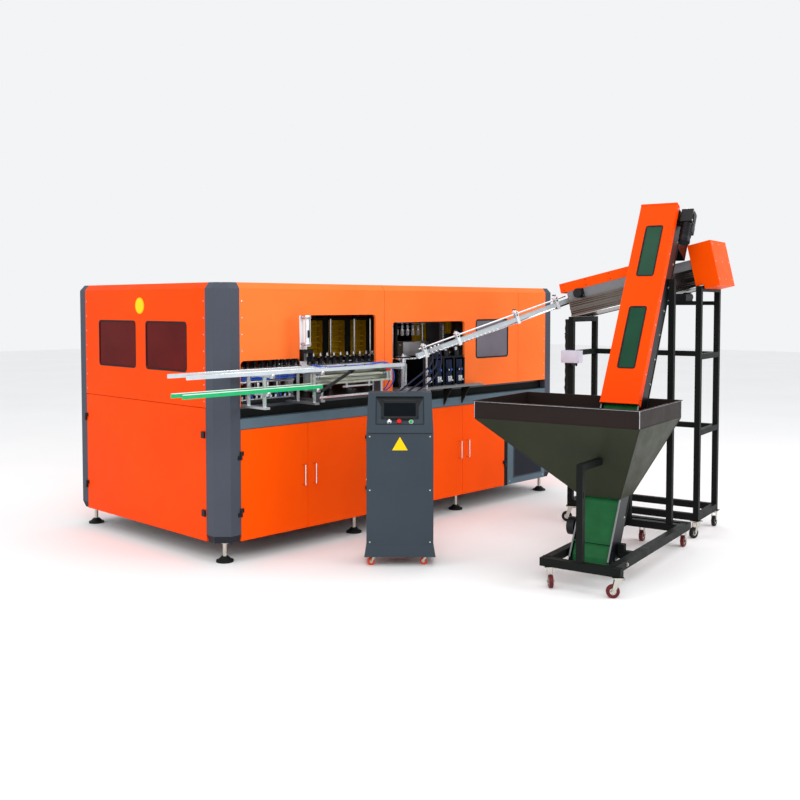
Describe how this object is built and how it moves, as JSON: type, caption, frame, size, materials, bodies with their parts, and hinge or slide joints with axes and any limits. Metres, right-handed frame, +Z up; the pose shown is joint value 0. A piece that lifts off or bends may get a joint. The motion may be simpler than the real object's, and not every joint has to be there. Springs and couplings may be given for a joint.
{
  "type": "blow moulding machine",
  "caption": "Linear bottle blow moulding machine with hinged doors, mould clamp, outlet rails, control console and a preform hopper, elevator and roller sorter.",
  "frame": {"origin": "floor point under the middle of the main cabinet's front left levelling foot", "axes": "+X to the right along the cabinet's front, +Y towards its back, +Z up"},
  "size_m": [4.16, 4.1493, 2.4201],
  "materials": {
    "hose_blue": "satin",
    "frame_dark": "satin",
    "station_steel": "satin",
    "cover_orange": "satin",
    "caster_zinc": "satin",
    "feeder_black": "satin",
    "cart_wheel": "satin",
    "console_grey": "satin",
    "console_wheel": "satin",
    "post_grey": "satin",
    "hinge_black": "satin",
    "motor_black": "satin",
    "belt_green": "satin",
    "feeder_orange": "satin",
    "elevator_grey": "satin",
    "door_orange": "satin",
    "unit_aluminium": "satin",
    "hopper_olive": "satin",
    "foot_rubber": "matt",
    "rail_aluminium": "satin",
    "knob_black": "gloss",
    "sorter_grey": "satin",
    "box_light": "satin",
    "stand_wheel": "satin",
    "button_green": "gloss",
    "button_red": "gloss",
    "vent_grey": "satin",
    "window_tint": "gloss"
  },
  "bodies": {
    "machine": {"air_hose_1": "hose_blue", "air_hose_2": "hose_blue", "air_hose_3": "hose_blue", "base_frame": "frame_dark", "blow_station": "station_steel", "cabinet_covers": "cover_orange", "cart_frame": "feeder_black", "console_cabinet": "console_grey", "corner_posts": "post_grey", "door_hinges": "hinge_black", "drive_motors": "motor_black", "elevator_belt": "belt_green", "elevator_cover": "feeder_orange", "elevator_frame": "elevator_grey", "heating_line": "unit_aluminium", "hopper": "hopper_olive", "infeed_chute": "station_steel", "infeed_unit": "unit_aluminium", "levelling_feet": "foot_rubber", "outfeed_line": "rail_aluminium", "sorter_housing": "sorter_grey", "stand_electrics": "box_light", "stand_frame": "feeder_black", "vent_panel": "vent_grey", "window_panes": "window_tint"},
    "front_door_1": {"front_door_1": "door_orange"},
    "front_door_2": {"front_door_2": "door_orange"},
    "front_door_3": {"front_door_3": "door_orange"},
    "front_door_4": {"front_door_4": "door_orange"},
    "end_door": {"end_door": "door_orange"},
    "mould_half_front": {"mould_half_front": "unit_aluminium"},
    "mould_half_rear": {"mould_half_rear": "unit_aluminium"},
    "nozzle_carriage": {"nozzle_carriage": "station_steel"},
    "outfeed_gripper": {"outfeed_gripper": "unit_aluminium"},
    "star_wheel": {"star_wheel": "unit_aluminium"},
    "selector_knob": {"selector_knob": "knob_black"},
    "stop_button": {"stop_button": "button_red"},
    "start_button": {"start_button": "button_green"},
    "elevator_head_drum": {"elevator_head_drum": "station_steel"},
    "elevator_tail_drum": {"elevator_tail_drum": "station_steel"},
    "sorter_roller_1": {"sorter_roller_1": "station_steel"},
    "sorter_roller_2": {"sorter_roller_2": "station_steel"},
    "console_wheel_front_left": {"console_wheel_front_left": "console_wheel"},
    "console_fork_front_left": {"console_fork_front_left": "caster_zinc"},
    "console_wheel_front_right": {"console_wheel_front_right": "console_wheel"},
    "console_fork_front_right": {"console_fork_front_right": "caster_zinc"},
    "console_wheel_rear_left": {"console_wheel_rear_left": "console_wheel"},
    "console_wheel_rear_right": {"console_wheel_rear_right": "console_wheel"},
    "cart_wheel_front_left": {"cart_wheel_front_left": "cart_wheel"},
    "cart_fork_front_left": {"cart_fork_front_left": "caster_zinc"},
    "cart_wheel_front_right": {"cart_wheel_front_right": "cart_wheel"},
    "cart_fork_front_right": {"cart_fork_front_right": "caster_zinc"},
    "cart_wheel_rear_left": {"cart_wheel_rear_left": "cart_wheel"},
    "cart_wheel_rear_right": {"cart_wheel_rear_right": "cart_wheel"},
    "stand_wheel_front_left": {"stand_wheel_front_left": "stand_wheel"},
    "stand_fork_front_left": {"stand_fork_front_left": "caster_zinc"},
    "stand_wheel_front_right": {"stand_wheel_front_right": "stand_wheel"},
    "stand_fork_front_right": {"stand_fork_front_right": "caster_zinc"},
    "stand_wheel_rear_left": {"stand_wheel_rear_left": "stand_wheel"},
    "stand_wheel_rear_right": {"stand_wheel_rear_right": "stand_wheel"}
  },
  "joints": [
    {"name": "front_door_1_hinge", "type": "hinge", "parent": "machine", "child": "front_door_1", "pos_m": [0.06, -0.108, 0.5], "axis": [0, 0, -1], "range_deg": [0, 110]},
    {"name": "front_door_2_hinge", "type": "hinge", "parent": "machine", "child": "front_door_2", "pos_m": [1.22, -0.108, 0.5], "axis": [0, 0, 1], "range_deg": [0, 110]},
    {"name": "front_door_3_hinge", "type": "hinge", "parent": "machine", "child": "front_door_3", "pos_m": [1.75, -0.108, 0.5], "axis": [0, 0, -1], "range_deg": [0, 110]},
    {"name": "front_door_4_hinge", "type": "hinge", "parent": "machine", "child": "front_door_4", "pos_m": [2.866, -0.108, 0.5], "axis": [0, 0, 1], "range_deg": [0, 110]},
    {"name": "end_door_hinge", "type": "hinge", "parent": "machine", "child": "end_door", "pos_m": [-0.108, 1.63, 0.5], "axis": [0, 0, -1], "range_deg": [0, 110]},
    {"name": "mould_open_front", "type": "slide", "parent": "machine", "child": "mould_half_front", "axis": [0, -1, 0], "range_m": [0, 0.055]},
    {"name": "mould_open_rear", "type": "slide", "parent": "machine", "child": "mould_half_rear", "axis": [0, 1, 0], "range_m": [0, 0.055]},
    {"name": "nozzle_stroke", "type": "slide", "parent": "machine", "child": "nozzle_carriage", "axis": [0, 0, -1], "range_m": [0, 0.045]},
    {"name": "gripper_stroke", "type": "slide", "parent": "machine", "child": "outfeed_gripper", "axis": [0, 0, -1], "range_m": [0, 0.03]},
    {"name": "star_wheel_turn", "type": "hinge", "parent": "machine", "child": "star_wheel", "pos_m": [1.62, -0.08, 1.292], "axis": [0, 0, 1], "continuous": true},
    {"name": "selector_turn", "type": "hinge", "parent": "machine", "child": "selector_knob", "pos_m": [0.70294, -0.84048, 0.94283], "axis": [-0.586, -0.5679, 0.578], "range_deg": [-45, 45]},
    {"name": "stop_press", "type": "slide", "parent": "machine", "child": "stop_button", "axis": [0.586, 0.5679, -0.578], "range_m": [0, 0.004], "stiffness_N_per_m": 400, "springref_m": -0.002},
    {"name": "start_press", "type": "slide", "parent": "machine", "child": "start_button", "axis": [0.586, 0.5679, -0.578], "range_m": [0, 0.003], "stiffness_N_per_m": 400, "springref_m": -0.002},
    {"name": "head_drum_turn", "type": "hinge", "parent": "machine", "child": "elevator_head_drum", "pos_m": [2.55188, -1.75267, 2.31145], "axis": [-0.1822, 0.9833, 0], "continuous": true},
    {"name": "tail_drum_turn", "type": "hinge", "parent": "machine", "child": "elevator_tail_drum", "pos_m": [1.36866, -1.97197, 0.13154], "axis": [-0.1822, 0.9833, 0], "continuous": true},
    {"name": "roller_1_turn", "type": "hinge", "parent": "machine", "child": "sorter_roller_1", "pos_m": [2.87142, -1.38481, 1.83641], "axis": [0.1776, -0.9581, 0.225], "continuous": true},
    {"name": "roller_2_turn", "type": "hinge", "parent": "machine", "child": "sorter_roller_2", "pos_m": [2.98941, -1.36295, 1.83641], "axis": [0.1776, -0.9581, 0.225], "continuous": true},
    {"name": "console_swivel_front_left", "type": "hinge", "parent": "machine", "child": "console_fork_front_left", "pos_m": [0.63092, -0.76545, 0.064], "axis": [0, 0, 1], "continuous": true},
    {"name": "console_roll_front_left", "type": "hinge", "parent": "console_fork_front_left", "child": "console_wheel_front_left", "pos_m": [0.61473, -0.75759, 0.025], "axis": [-0.4368, -0.8996, 0], "continuous": true},
    {"name": "console_swivel_front_right", "type": "hinge", "parent": "machine", "child": "console_fork_front_right", "pos_m": [0.87171, -1.01392, 0.064], "axis": [0, 0, 1], "continuous": true},
    {"name": "console_roll_front_right", "type": "hinge", "parent": "console_fork_front_right", "child": "console_wheel_front_right", "pos_m": [0.86436, -0.99749, 0.025], "axis": [-0.9128, -0.4083, 0], "continuous": true},
    {"name": "console_roll_rear_left", "type": "hinge", "parent": "machine", "child": "console_wheel_rear_left", "pos_m": [0.78173, -0.61931, 0.025], "axis": [0.7181, 0.6959, 0], "continuous": true},
    {"name": "console_roll_rear_right", "type": "hinge", "parent": "machine", "child": "console_wheel_rear_right", "pos_m": [1.02252, -0.86778, 0.025], "axis": [0.7181, 0.6959, 0], "continuous": true},
    {"name": "cart_swivel_front_left", "type": "hinge", "parent": "machine", "child": "cart_fork_front_left", "pos_m": [1.02282, -1.8886, 0.125], "axis": [0, 0, 1], "continuous": true},
    {"name": "cart_roll_front_left", "type": "hinge", "parent": "cart_fork_front_left", "child": "cart_wheel_front_left", "pos_m": [1.00319, -1.90857, 0.04], "axis": [0.7133, -0.7009, 0], "continuous": true},
    {"name": "cart_swivel_front_right", "type": "hinge", "parent": "machine", "child": "cart_fork_front_right", "pos_m": [1.10118, -2.3114, 0.125], "axis": [0, 0, 1], "continuous": true},
    {"name": "cart_roll_front_right", "type": "hinge", "parent": "cart_fork_front_right", "child": "cart_wheel_front_right", "pos_m": [1.083, -2.29011, 0.04], "axis": [-0.7604, -0.6494, 0], "continuous": true},
    {"name": "cart_roll_rear_left", "type": "hinge", "parent": "machine", "child": "cart_wheel_rear_left", "pos_m": [2.4358, -1.69283, 0.04], "axis": [-0.1822, 0.9833, 0], "continuous": true},
    {"name": "cart_roll_rear_right", "type": "hinge", "parent": "machine", "child": "cart_wheel_rear_right", "pos_m": [2.49047, -1.9878, 0.04], "axis": [-0.1822, 0.9833, 0], "continuous": true},
    {"name": "stand_swivel_front_left", "type": "hinge", "parent": "machine", "child": "stand_fork_front_left", "pos_m": [2.61831, -0.95202, 0.125], "axis": [0, 0, 1], "continuous": true},
    {"name": "stand_roll_front_left", "type": "hinge", "parent": "stand_fork_front_left", "child": "stand_wheel_front_left", "pos_m": [2.6041, -0.9279, 0.04], "axis": [-0.8616, -0.5075, 0], "continuous": true},
    {"name": "stand_swivel_front_right", "type": "hinge", "parent": "machine", "child": "stand_fork_front_right", "pos_m": [2.79872, -1.92544, 0.125], "axis": [0, 0, 1], "continuous": true},
    {"name": "stand_roll_front_right", "type": "hinge", "parent": "stand_fork_front_right", "child": "stand_wheel_front_right", "pos_m": [2.77111, -1.92082, 0.04], "axis": [-0.165, -0.9863, 0], "continuous": true},
    {"name": "stand_roll_rear_left", "type": "hinge", "parent": "machine", "child": "stand_wheel_rear_left", "pos_m": [3.07061, -0.86819, 0.04], "axis": [-0.1822, 0.9833, 0], "continuous": true},
    {"name": "stand_roll_rear_right", "type": "hinge", "parent": "machine", "child": "stand_wheel_rear_right", "pos_m": [3.25102, -1.84161, 0.04], "axis": [-0.1822, 0.9833, 0], "continuous": true}
  ],
  "couplings": [
    {"joint": "mould_open_rear", "follows": "mould_open_front", "ratio": 1},
    {"joint": "tail_drum_turn", "follows": "head_drum_turn", "ratio": 1},
    {"joint": "roller_2_turn", "follows": "roller_1_turn", "ratio": -1}
  ]
}
